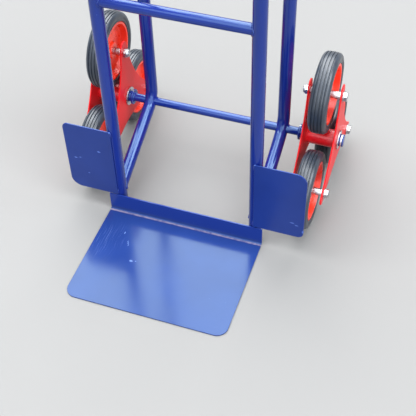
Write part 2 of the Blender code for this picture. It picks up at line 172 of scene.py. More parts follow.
def add_piece(name, shape, material, node=None, body=None, sharp=32):
    """Makes the piece's object, rides it on its body, and lets it stand for its CAD node if it has one."""
    mesh = bpy.data.meshes.new(name)
    mesh.from_pydata([tuple(point) for point in shape.points], [], shape.faces)
    work = bmesh.new()
    work.from_mesh(mesh)
    unused = [vert for vert in work.verts if not vert.link_faces]
    bmesh.ops.delete(work, geom=unused, context="VERTS")
    bmesh.ops.remove_doubles(work, verts=work.verts, dist=1e-7)
    bmesh.ops.recalc_face_normals(work, faces=work.faces)
    work.to_mesh(mesh)
    work.free()
    mesh.shade_smooth()
    mesh.set_sharp_from_angle(angle=math.radians(sharp))
    mesh.materials.append(material)
    piece = bpy.data.objects.new(name, mesh)
    bpy.context.scene.collection.objects.link(piece)
    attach(piece, body or BODY_OF[node])
    if node:
        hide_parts(node)
    return piece


# Outlines, rings and paths

def arc_between(start, corner, end, radius, steps):
    """The arc that rounds one corner of a path, as points from the first tangent to the second."""
    into = (corner - start).normalized()
    out = (end - corner).normalized()
    turn = into.angle(out)
    first = corner - into * radius * math.tan(turn / 2)
    middle = corner + (out - into).normalized() * radius / math.cos(turn / 2)
    axis = into.cross(out)
    spoke = first - middle
    return [middle + Matrix.Rotation(turn * step / steps, 3, axis) @ spoke for step in range(steps + 1)]


def bent_path(corners, radii, steps):
    points = [corners[0]]
    for index, radius in enumerate(radii):
        points += arc_between(corners[index], corners[index + 1], corners[index + 2], radius, steps)
    return points + [corners[-1]]


def rounded(corners, radii, steps=5):
    """A closed flat outline with its corners rounded, as (x, y) pairs. A corner of radius 0 stays sharp."""
    corners = [Vector((x, y, 0)) for x, y in corners]
    points = []
    for index, radius in enumerate(radii):
        if radius:
            after = corners[(index + 1) % len(corners)]
            points += arc_between(corners[index - 1], corners[index], after, radius, steps)
        else:
            points.append(corners[index])
    return [(point.x, point.y) for point in points]


def ring_section(bore, radius, half, radii, steps=5):
    """The section of a plain ring, ready for turning."""
    return rounded([(bore, half), (radius, half), (radius, -half), (bore, -half)], radii, steps)


def turns(steps):
    """Evenly spaced angles round a full turn."""
    return [math.tau * step / steps for step in range(steps)]


def outward_place(side, middle):
    """A local frame at middle whose Z points outward along the axle."""
    turn = Matrix.Rotation(SIDES[side] * math.pi / 2, 4, "Z") @ Matrix.Rotation(math.pi / 2, 4, "X")
    return Matrix.Translation(middle) @ turn


def circle(radius, height, steps, place, middle=(0, 0)):
    x, y = middle
    return [
        place @ Vector((x + radius * math.cos(turn), y + radius * math.sin(turn), height))
        for turn in turns(steps)
    ]


def polar(place, reach, turn, height):
    return place @ Vector((reach * math.cos(turn), reach * math.sin(turn), height))


def turned_rings(shape, profile, place, steps=FASTENER_STEPS):
    """One ring about the local Z for each (radius, height) of a profile."""
    return [shape.ring(circle(radius, height, steps, place)) for radius, height in profile]


def add_turned(name, profile, place, steps, material, node=None, closed=True, **options):
    """A piece turned from a (radius, height) profile. An open profile starts and ends on the axis."""
    shape = Shape()
    rings = turned_rings(shape, profile if closed else profile[1:-1], place, steps)
    shape.bridge_all(rings)
    if closed:
        shape.bridge(rings[-1], rings[0])
    else:
        shape.fan(rings[0], place @ Vector((0, 0, profile[0][1])))
        shape.fan(rings[-1], place @ Vector((0, 0, profile[-1][1])))
    add_piece(name, shape, material, node, **options)


def around(point, across, up, radius, sides):
    """Points round a point, in the plane of two unit vectors."""
    return [point + radius * (across * math.cos(turn) + up * math.sin(turn)) for turn in turns(sides)]


def tube_rings(shape, path, across, radius, sides):
    """One ring round each point of a flat path. across is square to the path's plane."""
    rings = []
    last = len(path) - 1
    for index, point in enumerate(path):
        along = (path[min(index + 1, last)] - path[max(index - 1, 0)]).normalized()
        up = across.cross(along).normalized()
        rings.append(shape.ring(around(point, across, up, radius, sides)))
    return rings


def add_tube(name, path, across, radius, sides, node):
    """A tube with a wall and a small round on both of its end edges."""
    soft = TUBE_WALL / 4
    bore = radius - TUBE_WALL
    shape = Shape()
    skins = []
    for reach, trim in ((radius, soft), (radius - soft, 0), (bore + soft, 0), (bore, soft)):
        first = path[0] + (path[1] - path[0]).normalized() * trim
        last = path[-1] + (path[-2] - path[-1]).normalized() * trim
        skins.append(tube_rings(shape, [first] + path[1:-1] + [last], across, reach, sides))
    shape.bridge_all(skins[0])
    shape.bridge_all(skins[-1])
    for end in (0, -1):
        shape.bridge_all([skin[end] for skin in skins])
    add_piece(name, shape, FRAME_BLUE, node)


# Colours, places of wear and painted light

BLUE = (0.0085, 0.024, 0.160)
BLUE_DEEP = (0.0070, 0.020, 0.140)
# Pale blue of scuffed paint, also used for the painted highlights at the wings' weld tacks
BLUE_RUBBED_AND_HIGHLIGHT = (0.075, 0.130, 0.400)
BLUE_GLOSS = (0.55, 0.80, 0.88)
TOE_COLOUR = (0.0112, 0.0300, 0.146)
TOE_DEEP = (0.0095, 0.0255, 0.129)
TOE_RUBBED = (0.20, 0.30, 0.56)
TOE_GLOSS = (0.51, 0.69, 0.65)
# Painted light: the flange and the floor part are one painted sheet, but the forward-facing flange takes this
# purer, deeper blue while the upward floor part keeps the greyer TOE_COLOUR.
TOE_FLANGE_COLOUR = (0.0088, 0.0250, 0.178)
# Colour of the painted highlight along the toe plate's fold
FOLD_HIGHLIGHT_COLOUR = (0.30, 0.23, 0.27)
TUBE_COLOUR = (0.0060, 0.0160, 0.158)
TUBE_DEEP = (0.0050, 0.0135, 0.140)
TUBE_GLOSS = (0.46, 0.68, 0.88)
RED = (0.600, 0.010, 0.014)
RED_DEEP = (0.540, 0.008, 0.011)
RED_RUBBED = (0.700, 0.080, 0.080)
RED_GLOSS = (0.95, 0.50, 0.52)
# Painted light: the barrel bears the stars' red paint, given a brighter red to lift it out of the shade
# between the plates and under the tyres.
BARREL_RED_BRIGHTENED = (0.900, 0.016, 0.026)
RIM_COLOUR = (0.82, 0.040, 0.013)
RIM_DEEP = (0.74, 0.026, 0.009)
RIM_SPECK = (0.40, 0.05, 0.03)
ZINC_COLOUR = (0.60, 0.605, 0.61)
ZINC_DEEP = (0.48, 0.50, 0.53)
ZINC_SPECK = (0.27, 0.27, 0.28)
TYRE_COLOUR = (0.013, 0.019, 0.030)
TYRE_DUST = (0.033, 0.044, 0.065)
GRIP_COLOUR = (0.016, 0.016, 0.018)
PLUG_COLOUR = (0.018, 0.018, 0.020)
BLACK_DUST = (0.07, 0.07, 0.07)

TOE_SCRATCH_AT = (-0.133, FRONT_Y - 0.086, SHEET)
TOE_SCRATCH_REACH = (0.044, 0.062, 1.0)
TOE_FOLD_Y = FRONT_Y - SHEET - TOE_FOLD_R * 0.55
# Each spot is a place and its half sizes along X, Y and Z
TOE_SPOTS = [
    ((x, FRONT_Y - ahead, SHEET), (half_x, half_y, 1.0))
    for x, ahead, half_x, half_y in (
        (-0.108, 0.056, 0.0012, 0.0036),
        (-0.0935, 0.0755, 0.0009, 0.0028),
        (-0.0915, 0.0795, 0.0010, 0.0028),
        (-0.0895, 0.0840, 0.0009, 0.0026),
        (-0.069, 0.120, 0.0040, 0.0026),
        (-0.060, 0.118, 0.0016, 0.0010),
    )
]
# Spots of wear on the wing plates. The last five, at the weld tacks by the wings' inner edges, are painted
# highlights.
WING_WEAR_AND_HIGHLIGHT_SPOTS = [
    ((x, FRONT_Y, z), (half_x, 1.0, half_z))
    for x, z, half_x, half_z in (
        (-0.171, 0.157, 0.0040, 0.0020),
        (-0.224, 0.128, 0.0035, 0.0016),
        (-0.214, 0.131, 0.0030, 0.0012),
        (-0.200, 0.092, 0.0022, 0.0014),
        (0.219, 0.085, 0.0050, 0.0014),
        (0.228, 0.080, 0.0040, 0.0012),
        (0.241, 0.066, 0.0024, 0.0040),
        (-0.1430, 0.214, 0.0024, 0.0016),
        (-0.1405, 0.070, 0.0014, 0.0014),
        (0.1420, 0.2155, 0.0024, 0.0014),
        (0.1412, 0.064, 0.0012, 0.0014),
        (0.1410, 0.058, 0.0009, 0.0010),
    )
]


# Shader nodes

def new_material(name):
    material = bpy.data.materials.new(name)
    material.use_nodes = True
    tree = material.node_tree
    place = add_node(tree, "ShaderNodeTexCoord").outputs["Object"]
    return material, tree, tree.nodes["Principled BSDF"], place


def set_inputs(tree, node, inputs):
    """Links each named input to a socket, or sets it to a plain value."""
    for key, value in inputs.items():
        if isinstance(value, bpy.types.NodeSocket):
            tree.links.new(value, node.inputs[key])
        else:
            node.inputs[key].default_value = value


def add_node(tree, kind, inputs=None, **settings):
    made = tree.nodes.new(kind)
    for key, value in settings.items():
        setattr(made, key, value)
    set_inputs(tree, made, inputs or {})
    return made


def between(tree, value, low, high, to_low=0.0, to_high=1.0):
    """value from low to high, spread smoothly over to_low to to_high."""
    inputs = {"Value": value, "From Min": low, "From Max": high, "To Min": to_low, "To Max": to_high}
    made = add_node(tree, "ShaderNodeMapRange", inputs, interpolation_type="SMOOTHSTEP")
    return made.outputs["Result"]


def noise_at(tree, place, scale, detail, roughness=0.5):
    inputs = {"Vector": place, "Scale": scale, "Detail": detail, "Roughness": roughness}
    return add_node(tree, "ShaderNodeTexNoise", inputs).outputs["Fac"]


def patches(tree, place, scale, detail, low, high, to_low=0.0, to_high=1.0, roughness=0.5):
    """Noise whose values from low to high are spread smoothly over to_low to to_high."""
    return between(tree, noise_at(tree, place, scale, detail, roughness), low, high, to_low, to_high)


def stretched(tree, place, scale, turn=(0, 0, 0)):
    inputs = {"Vector": place, "Scale": scale, "Rotation": turn}
    return add_node(tree, "ShaderNodeMapping", inputs).outputs["Vector"]


def math_of(tree, operation, first, second):
    return add_node(tree, "ShaderNodeMath", {0: first, 1: second}, operation=operation).outputs["Value"]


def product(tree, first, second):
    return math_of(tree, "MULTIPLY", first, second)


def most_of(tree, values):
    """The greatest of several values."""
    found = values[0]
    for value in values[1:]:
        found = math_of(tree, "MAXIMUM", found, value)
    return found


def vector_math(tree, operation, first, second, output="Vector"):
    made = add_node(tree, "ShaderNodeVectorMath", {0: first, 1: second}, operation=operation)
    return made.outputs[output]


def distance_from(tree, place, at, reach):
    """The distance from at, as a share of the half sizes in reach."""
    off = vector_math(tree, "SUBTRACT", place, at)
    off = stretched(tree, off, [1 / half for half in reach])
    return vector_math(tree, "LENGTH", off, (0, 0, 0), "Value")


def mixed(tree, share, first, second):
    made = add_node(tree, "ShaderNodeMix", {"Factor": share}, data_type="RGBA")
    for slot, colour in ((6, first), (7, second)):
        set_inputs(tree, made, {slot: (*colour, 1) if isinstance(colour, tuple) else colour})
    return made.outputs[2]


def bumped(tree, shader, height, distance, strength):
    made = add_node(tree, "ShaderNodeBump", {"Height": height, "Distance": distance, "Strength": strength})
    tree.links.new(made.outputs["Normal"], shader.inputs["Normal"])


# Materials

def ragged_spots(tree, place, spots):
    """1 in the listed ragged spots and 0 around them: spots of wear, and on the wings also painted highlights
    at the weld tacks.
    """
    ragged = product(tree, noise_at(tree, place, 420.0, 3.0), 0.9)
    found = []
    for at, reach in spots:
        away = math_of(tree, "ADD", distance_from(tree, place, at, reach), ragged)
        found.append(between(tree, away, 1.45, 1.10))
    return most_of(tree, found)


def glossy_paint(name, colour, deep, pale_colour, gloss, roughness, ior, spots=()):
    """Glossy paint: a faint orange peel, slow colour changes, sparse scuffed flecks and fine scratches, and
    listed spots of wear; on the wings the spots at the weld tacks are painted highlights.
    """
    material, tree, shader, place = new_material(name)
    body = mixed(tree, patches(tree, place, 9.0, 3.0, 0.35, 0.65), deep, colour)
    flecks = patches(tree, place, 150.0, 4.0, 0.735, 0.775, roughness=0.6)
    drawn_out = stretched(tree, place, (900.0, 30.0, 60.0), (0.3, 0.2, 0.5))
    scratches = patches(tree, drawn_out, 1.0, 2.0, 0.735, 0.770)
    where = patches(tree, place, 7.0, 2.0, 0.50, 0.64)
    pale_marks = product(tree, product(tree, most_of(tree, [flecks, scratches]), where), 0.6)
    if spots:
        pale_marks = most_of(tree, [pale_marks, ragged_spots(tree, place, spots)])
    haze = patches(tree, place, 24.0, 4.0, 0.3, 0.75, roughness, roughness + 0.05)
    set_inputs(tree, shader, {
        "Base Color": mixed(tree, pale_marks, body, pale_colour),
        "Roughness": math_of(tree, "ADD", haze, product(tree, pale_marks, 0.3)),
        "IOR": ior,
        "Specular Tint": (*gloss, 1),
    })
    bumped(tree, shader, noise_at(tree, place, 620.0, 1.0), 0.00002, 0.35)
    return material


def patch_of_scratches(tree, place):
    """Fine slanting scratches, slightly curved, that fade out round one place on the toe plate."""
    patch = between(tree, distance_from(tree, place, TOE_SCRATCH_AT, TOE_SCRATCH_REACH), 1.0, 0.40)
    curl = add_node(tree, "ShaderNodeTexNoise", {"Vector": place, "Scale": 13.0, "Detail": 1.0})
    bend = vector_math(tree, "MULTIPLY", curl.outputs["Color"], (0.024, 0.024, 0.0))
    bent = vector_math(tree, "ADD", place, bend)
    drawn_out = stretched(tree, bent, (820.0, 15.0, 1.0), (0, 0, -0.46))
    return product(tree, patches(tree, drawn_out, 1.0, 3.0, 0.56, 0.72), patch)


def painted_fold_highlight(tree, place, y):
    """A painted highlight: an uneven pale pinkish line along the fold between floor plate and flange."""
    from_fold = math_of(tree, "ABSOLUTE", math_of(tree, "SUBTRACT", y, TOE_FOLD_Y), 0.0)
    uneven = patches(tree, place, 130.0, 3.0, 0.25, 0.70, 0.35, 1.0)
    return product(tree, between(tree, from_fold, 0.0028, 0.0009), uneven)


def toe_plate_paint():
    """The toe plate's blue, with the scratches and chips that loads leave, a painted highlight along the
    fold, and a purer blue on the forward-facing flange that is painted light.
    """
    material, tree, shader, place = new_material("frame_blue.toe")
    body = mixed(tree, patches(tree, place, 9.0, 3.0, 0.35, 0.65), TOE_DEEP, TOE_COLOUR)
    parts = add_node(tree, "ShaderNodeSeparateXYZ", {"Vector": place}).outputs
    # Painted light: above the fold the sheet turns to the flange's own blue, a colour set by which way the
    # face turns.
    body = mixed(tree, between(tree, parts["Z"], 0.006, 0.014), body, TOE_FLANGE_COLOUR)
    marks = patch_of_scratches(tree, place)
    drawn_out = stretched(tree, place, (700.0, 60.0, 80.0), (0, 0, -0.5))
    where = patches(tree, place, 11.0, 2.0, 0.5, 0.62)
    lines = product(tree, patches(tree, drawn_out, 1.0, 2.0, 0.745, 0.78), where)
    flecks = patches(tree, place, 210.0, 4.0, 0.745, 0.775, roughness=0.6)
    chips = ragged_spots(tree, place, TOE_SPOTS)
    strengths = ((marks, 0.27), (lines, 0.18), (flecks, 0.25), (chips, 0.45))
    pale_marks = most_of(tree, [product(tree, mark, strength) for mark, strength in strengths])
    # dust holds the pale line along the fold, which is a painted highlight.
    dust = painted_fold_highlight(tree, place, parts["Y"])
    rough = patches(tree, place, 20.0, 4.0, 0.3, 0.75, 0.14, 0.19)
    for dull in (pale_marks, dust):
        rough = math_of(tree, "ADD", rough, product(tree, dull, 0.30))
    set_inputs(tree, shader, {
        "Base Color": mixed(tree, product(tree, dust, 0.62), mixed(tree, pale_marks, body, TOE_RUBBED), FOLD_HIGHLIGHT_COLOUR),
        "Roughness": rough,
        "IOR": 1.5,
        "Specular Tint": (*TOE_GLOSS, 1),
    })
    peel = product(tree, noise_at(tree, place, 620.0, 1.0), 0.05)
    bumped(tree, shader, math_of(tree, "SUBTRACT", peel, product(tree, marks, 0.6)), 0.00006, 0.6)
    return material


def bright_plating():
    """Bright zinc plating: faint clouds, dull specks and a fine grain."""
    material, tree, shader, place = new_material("zinc")
    tint = mixed(tree, patches(tree, place, 90.0, 3.0, 0.35, 0.7), ZINC_DEEP, ZINC_COLOUR)
    specks = patches(tree, place, 900.0, 2.0, 0.66, 0.76)
    set_inputs(tree, shader, {
        "Base Color": mixed(tree, product(tree, specks, 0.5), tint, ZINC_SPECK),
        "Metallic": 1.0,
        "Roughness": patches(tree, place, 260.0, 3.0, 0.3, 0.7, 0.22, 0.36),
    })
    bumped(tree, shader, noise_at(tree, place, 1400.0, 2.0), 0.00002, 0.4)
    return material


def tyre_rubber():
    """Solid black rubber: dusty in places, with a fine grain."""
    material, tree, shader, place = new_material("tyre_rubber")
    dust = patches(tree, place, 34.0, 5.0, 0.42, 0.72, 0.05, 0.55, roughness=0.6)
    set_inputs(tree, shader, {
        "Base Color": mixed(tree, dust, TYRE_COLOUR, TYRE_DUST),
        "Roughness": patches(tree, place, 60.0, 3.0, 0.3, 0.7, 0.30, 0.42),
        "IOR": 1.62,
    })
    bumped(tree, shader, noise_at(tree, place, 1600.0, 3.0), 0.00006, 0.35)
    return material


def rim_plastic():
    """Bright orange-red moulded plastic with a slightly uneven gloss."""
    material, tree, shader, place = new_material("rim_orange")
    body = mixed(tree, patches(tree, place, 30.0, 2.0, 0.35, 0.65), RIM_DEEP, RIM_COLOUR)
    specks = patches(tree, place, 500.0, 2.0, 0.70, 0.78)
    set_inputs(tree, shader, {
        "Base Color": mixed(tree, product(tree, specks, 0.25), body, RIM_SPECK),
        "Roughness": patches(tree, place, 80.0, 3.0, 0.3, 0.7, 0.26, 0.36),
    })
    bumped(tree, shader, noise_at(tree, place, 800.0, 2.0), 0.00002, 0.3)
    return material


def soft_black(name, colour, roughness, grain):
    """Black rubber or plastic with a moulded grain and a little dust."""
    material, tree, shader, place = new_material(name)
    dust = patches(tree, place, 45.0, 4.0, 0.45, 0.75, 0.0, 0.35)
    set_inputs(tree, shader, {
        "Base Color": mixed(tree, dust, colour, BLACK_DUST),
        "Roughness": patches(tree, place, 70.0, 3.0, 0.3, 0.7, roughness, roughness + 0.12),
    })
    bumped(tree, shader, noise_at(tree, place, grain, 3.0), 0.0001, 0.3)
    return material


FRAME_BLUE = glossy_paint("frame_blue", TUBE_COLOUR, TUBE_DEEP, BLUE_RUBBED_AND_HIGHLIGHT, TUBE_GLOSS, 0.09, 1.72)
# The wing paint also carries painted highlights at its weld tacks.
WING_BLUE = glossy_paint("frame_blue.wing", BLUE, BLUE_DEEP, BLUE_RUBBED_AND_HIGHLIGHT, BLUE_GLOSS, 0.28, 1.45, WING_WEAR_AND_HIGHLIGHT_SPOTS)
TOE_BLUE = toe_plate_paint()
STAR_RED = glossy_paint("star_red", RED, RED_DEEP, RED_RUBBED, RED_GLOSS, 0.37, 1.33)
# The barrel's brighter red is painted light against the shade that it sits in.
BARREL_RED = glossy_paint("star_red.barrel", BARREL_RED_BRIGHTENED, RED, RED_RUBBED, RED_GLOSS, 0.24, 1.75)
ZINC = bright_plating()
TYRE_RUBBER = tyre_rubber()
RIM_ORANGE = rim_plastic()
GRIP_RUBBER = soft_black("grip_rubber", GRIP_COLOUR, 0.48, 900.0)
PLUG_PLASTIC = soft_black("plug_plastic", PLUG_COLOUR, 0.38, 500.0)


# The frame

def toe_plate_rows():
    """Rows across the folded sheet: the y and z of its middle, its half width and its share of waviness."""
    low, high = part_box("toe_plate")
    corner_steps, flat_rows, fold_steps, flange_rows = 14, 40, 12, 8
    middle_r = TOE_FOLD_R + SHEET / 2
    flange_y = high.y - SHEET / 2
    flat_start, flat_end = low.y + TOE_CORNER_R, flange_y - middle_r
    rows = []
    for step in range(corner_steps):
        turn = math.pi / 2 * step / corner_steps
        y = low.y + TOE_CORNER_R * (1 - math.cos(turn))
        rows.append((y, SHEET / 2, high.x - TOE_CORNER_R * (1 - math.sin(turn)), 1.0))
    for step in range(flat_rows + 1):
        share = step / flat_rows
        rows.append((flat_start + (flat_end - flat_start) * share, SHEET / 2, high.x, 1 - share**4))
    for step in range(1, fold_steps + 1):
        turn = math.pi / 2 * step / fold_steps
        y = flat_end + middle_r * math.sin(turn)
        rows.append((y, SHEET / 2 + middle_r * (1 - math.cos(turn)), high.x, 0.0))
    flange_start = SHEET / 2 + middle_r
    for step in range(1, flange_rows + 1):
        rows.append((flange_y, flange_start + (high.z - flange_start) * step / flange_rows, high.x, 0.0))
    return rows


def toe_plate():
    """The folded sheet as a fine grid that follows the fold, with a slight waviness, then given its wall."""
    columns = 64
    shape = Shape()
    rings = []
    for y, z, half, wavy in toe_plate_rows():
        points = []
        for column in range(columns + 1):
            x = half * (2 * column / columns - 1)
            wave = 0.5 + 0.5 * noise.noise(Vector((x, y, 0)) * TOE_WAVES_PER_METRE)
            points.append(Vector((x, y, z + wave * TOE_WAVE_HEIGHT * wavy)))
        rings.append(shape.ring(points))
    shape.bridge_all(rings, closed=False)
    add_thickness(add_piece("toe_plate_sheet", shape, TOE_BLUE, "toe_plate"))


def add_thickness(piece):
    """Makes a surface into a sheet with its edges slightly broken."""
    wall = piece.modifiers.new("sheet", "SOLIDIFY")
    wall.thickness = SHEET
    wall.offset = 0
    soft = piece.modifiers.new("edges", "BEVEL")
    soft.width = SHEET_EDGE_R
    soft.segments = 3
    soft.limit_method = "ANGLE"
    soft.angle_limit = math.radians(50)
    soft.harden_normals = True


def wing_plate(side):
    """The side plate in front of an upright. The two are one blank turned over, so their corners differ."""
    low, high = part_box(f"{side}_wing_plate")
    if side == "left":
        inner, outer, radii = high.x, low.x, [0, WING_LARGE_R, WING_SMALL_R, 0]
    else:
        inner, outer, radii = low.x, high.x, [0, WING_SMALL_R, WING_LARGE_R, 0]
    outline = rounded([(inner, low.z), (outer, low.z), (outer, high.z), (inner, high.z)], radii, 14)
    shape = Shape()
    shape.cap(shape.ring([Vector((x, (low.y + high.y) / 2, z)) for x, z in outline]))
    add_thickness(add_piece(f"{side}_wing_sheet", shape, WING_BLUE, f"{side}_wing_plate"))


def handle_path(side):
    x = SIDES[side] * UPRIGHT_X
    corner = Vector((x, UPRIGHT_Y, HANDLE_CORNER_Z))
    end = corner + HANDLE_LENGTH * Vector((0, math.cos(HANDLE_RISE), math.sin(HANDLE_RISE)))
    return [Vector((x, UPRIGHT_Y, UPRIGHT_FOOT)), corner, end]


def upright(side):
    path = bent_path(handle_path(side), [HANDLE_BEND_R], 28)
    add_tube(f"{side}_upright_tube", path, Vector((1, 0, 0)), TUBE_R, 56, f"{side}_upright")


def rear_tube_corners(side):
    x = SIDES[side] * UPRIGHT_X
    run = REAR_TUBE_Y - UPRIGHT_Y
    return [
        Vector((x, UPRIGHT_Y, REAR_LOW_CORNER_Z - run * math.tan(REAR_LOW_SLOPE))),
        Vector((x, REAR_TUBE_Y, REAR_LOW_CORNER_Z)),
        Vector((x, REAR_TUBE_Y, REAR_HIGH_CORNER_Z)),
        Vector((x, UPRIGHT_Y, REAR_HIGH_CORNER_Z + run * math.tan(REAR_HIGH_SLOPE))),
    ]


def rear_tube(side):
    """The tube that carries the axle. Its ends stop inside the upright, and welds go round them."""
    path = bent_path(rear_tube_corners(side), [REAR_LOW_BEND_R, REAR_HIGH_BEND_R], 22)
    add_tube(f"{side}_rear_tube_bent", path, Vector((1, 0, 0)), TUBE_R, 56, f"{side}_rear_tube")


def cross_bar(node):
    """A thinner tube whose ends stop inside the uprights."""
    reach = UPRIGHT_X - TUBE_R / 2
    path = [Vector((x, UPRIGHT_Y, centre(node).z)) for x in (-reach, 0, reach)]
    add_tube(f"{node}_tube", path, Vector((0, 1, 0)), CROSS_BAR_R, 40, node)


def grip(side):
    """A ribbed rubber sleeve with a collar at its inner end and a rounded closed outer end."""
    node = f"{side}_grip"
    corner, end = handle_path(side)[1:]
    place = Matrix.Translation(end) @ (end - corner).to_track_quat("Z", "Y").to_matrix().to_4x4()
    radius, collar_r, length = 0.0165, 0.021, 0.118
    bore = TUBE_R + GAP
    top, crown, end_r, end_steps = 0.0043, 0.0004, 0.004, 6
    profile = [(0, top), (radius * 0.55, top - crown / 2)]
    for step in range(end_steps + 1):
        turn = math.pi / 2 * step / end_steps
        height = top - crown - end_r * (1 - math.cos(turn))
        profile.append((radius - end_r * (1 - math.sin(turn)), height))
    rib_top, rib_end, ribs, rib_depth = -0.006, 0.012 - length, 22, 0.0011
    pitch = (rib_top - rib_end) / ribs
    groove = ((0.0, 0.0), (0.10, 0.55), (0.20, 1.0), (0.42, 1.0), (0.52, 0.55), (0.62, 0.0))
    for rib in range(ribs):
        start = rib_top - rib * pitch
        profile += [(radius - rib_depth * depth, start - share * pitch) for share, depth in groove]
    collar = rounded(
        [(radius, rib_end), (radius, 0.0075 - length), (collar_r, 0.0055 - length), (collar_r, -length),
         (bore, -length), (bore, rib_end)],
        [0, 0.0015, 0.0012, 0.0012, 0.0005, 0],
    )
    profile += collar[:-1] + [(bore, -GAP), (0, -GAP)]
    add_turned(f"{node}_ribbed", profile, place, 72, GRIP_RUBBER, node, closed=False, sharp=50)


def foot_plug(side):
    """The plug in an upright's foot: a low head, and a spigot inside the tube."""
    node = f"{side}_foot_plug"
    middle = centre(node)
    head, top = 0.0025, size(node).z
    spigot = TUBE_R - TUBE_WALL - 2 * GAP
    outline = rounded(
        [(0, 0), (TUBE_R, 0), (TUBE_R, head), (spigot, head), (spigot, top), (0, top)],
        [0, 0.0009, 0.0004, 0.0002, 0.0015, 0],
    )
    place = Matrix.Translation((middle.x, UPRIGHT_Y, middle.z - top / 2))
    add_turned(f"{node}_moulded", outline, place, 56, PLUG_PLASTIC, node, closed=False)


# Welds

def weld(name, path, width, body="frame"):
    """A bead of overlapping ripples along a path, half sunk into the metal that it joins."""
    lengths = [0.0]
    for first, second in zip(path, path[1:]):
        lengths.append(lengths[-1] + (second - first).length)
    total = lengths[-1]
    ripple, samples_per_ripple, sides = 0.0022, 5, 10
    end_share, valley, swell, swell_rate = 0.35, 0.86, 0.06, 410
    samples = max(12, int(total / ripple * samples_per_ripple))
    points, reaches = [], []
    leg = 0
    for sample in range(samples + 1):
        at = total * sample / samples
        while leg < len(path) - 2 and at > lengths[leg + 1]:
            leg += 1
        share = (at - lengths[leg]) / max(lengths[leg + 1] - lengths[leg], 1e-9)
        points.append(path[leg].lerp(path[leg + 1], share))
        taper = min(1.0, end_share + min(at, total - at) / width)
        rippled = valley + (1 - valley) * math.sqrt((at / ripple) % 1.0)
        reaches.append(width / 2 * (rippled + swell * math.sin(at * swell_rate)) * taper)
    no_path_runs_this_way = Vector((0.31, 0.52, 0.79))
    shape = Shape()
    rings = []
    for index, point in enumerate(points):
        along = (points[min(index + 1, samples)] - points[max(index - 1, 0)]).normalized()
        across = along.cross(no_path_runs_this_way).normalized()
        rings.append(shape.ring(around(point, across, along.cross(across), reaches[index], sides)))
    shape.bridge_all(rings)
    shape.cap(rings[0])
    shape.cap(rings[-1])
    add_piece(name, shape, FRAME_BLUE if body == "frame" else STAR_RED, body=body, sharp=70)


def upright_seam(name, x, y, low, high, width):
    weld(name, [Vector((x, y, low)), Vector((x, y, high))], width)


def tube_meeting(x, direction, base, steps=40):
    """Where a sloping frame tube's skin meets the upright's skin, as a closed path round the tube."""
    across = Vector((1, 0, 0))
    up = across.cross(direction).normalized()
    points = []
    for ring in around(base, across, up, TUBE_R, steps):
        depth = math.sqrt(max(TUBE_R**2 - (ring.x - x) ** 2, 0.0))
        travel = (UPRIGHT_Y + depth - ring.y) / direction.y
        points.append(ring + direction * travel)
    return points + [points[0]]


def axle_meeting(x, out, steps=36):
    """Where the axle's skin meets the rear tube's on one side. The axle's front lies outside the tube."""
    ahead = REAR_TUBE_Y - AXLE.y
    just_inside = 0.99
    half_sweep = math.acos((ahead - just_inside * TUBE_R) / AXLE_R)
    points = []
    for step in range(steps + 1):
        turn = half_sweep * (2 * step / steps - 1)
        back = AXLE_R * math.cos(turn)
        reach = math.sqrt(TUBE_R**2 - (back - ahead) ** 2)
        points.append(Vector((x + out * reach, AXLE.y + back, AXLE.z + AXLE_R * math.sin(turn))))
    return points


def cross_bar_meeting(node, sign, steps=40):
    """Where a cross bar's skin meets the upright's skin, as a closed path round the bar."""
    points = []
    for turn in turns(steps) + [0.0]:
        off = CROSS_BAR_R * math.cos(turn)
        x = sign * (UPRIGHT_X - math.sqrt(TUBE_R**2 - off**2))
        points.append(Vector((x, UPRIGHT_Y + off, centre(node).z + CROSS_BAR_R * math.sin(turn))))
    return points


def plate_welds(side, x):
    """Two tacks at the wing's inner edge, and the seams behind the wing and the toe plate's flange."""
    sign = SIDES[side]
    low, high = (corner.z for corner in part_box(f"{side}_wing_plate"))
    tack, tack_inset, tack_in, tack_depth = 0.012, 0.001, 0.0007, 0.62
    edge, front = x - sign * tack_in, FRONT_Y + SHEET * tack_depth
    for place, start in (("foot", low + tack_inset), ("top", high - tack_inset - tack)):
        upright_seam(f"{side}_wing_{place}_tack", edge, front, start, start + tack, FINE_SEAM_WIDTH)
    seam_out, seam_back = 0.0075, 0.0016
    rear = FRONT_Y + SHEET + seam_back
    stitch, stitch_pitch, stitch_start = 0.026, 0.058, 0.012
    for index in range(3):
        name = f"{side}_wing_rear_weld_{index + 1}"
        start = low + stitch_start + index * stitch_pitch
        upright_seam(name, x + sign * seam_out, rear, start, start + stitch, SEAM_WIDTH)
    toe_low, toe_high = 0.006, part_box("toe_plate")[1].z - 0.002
    for place, offset in (("inner", -seam_out), ("outer", seam_out)):
        upright_seam(f"{side}_toe_{place}_weld", x + sign * offset, rear, toe_low, toe_high, SEAM_WIDTH)


def frame_welds():
    for side, sign in SIDES.items():
        x = sign * UPRIGHT_X
        plate_welds(side, x)
        corners = rear_tube_corners(side)
        for place, near, far in (("low", 0, 1), ("high", 3, 2)):
            direction = (corners[far] - corners[near]).normalized()
            path = tube_meeting(x, direction, corners[near])
            weld(f"{side}_rear_tube_{place}_weld", path, SEAM_WIDTH)
        for place, face in (("inner", -1), ("outer", 1)):
            weld(f"{side}_axle_{place}_weld", axle_meeting(x, sign * face), FINE_SEAM_WIDTH)
    for node in CROSS_BARS:
        for side, sign in SIDES.items():
            weld(f"{side}_{node}_weld", cross_bar_meeting(node, sign), FINE_SEAM_WIDTH)


# The axle and its fittings

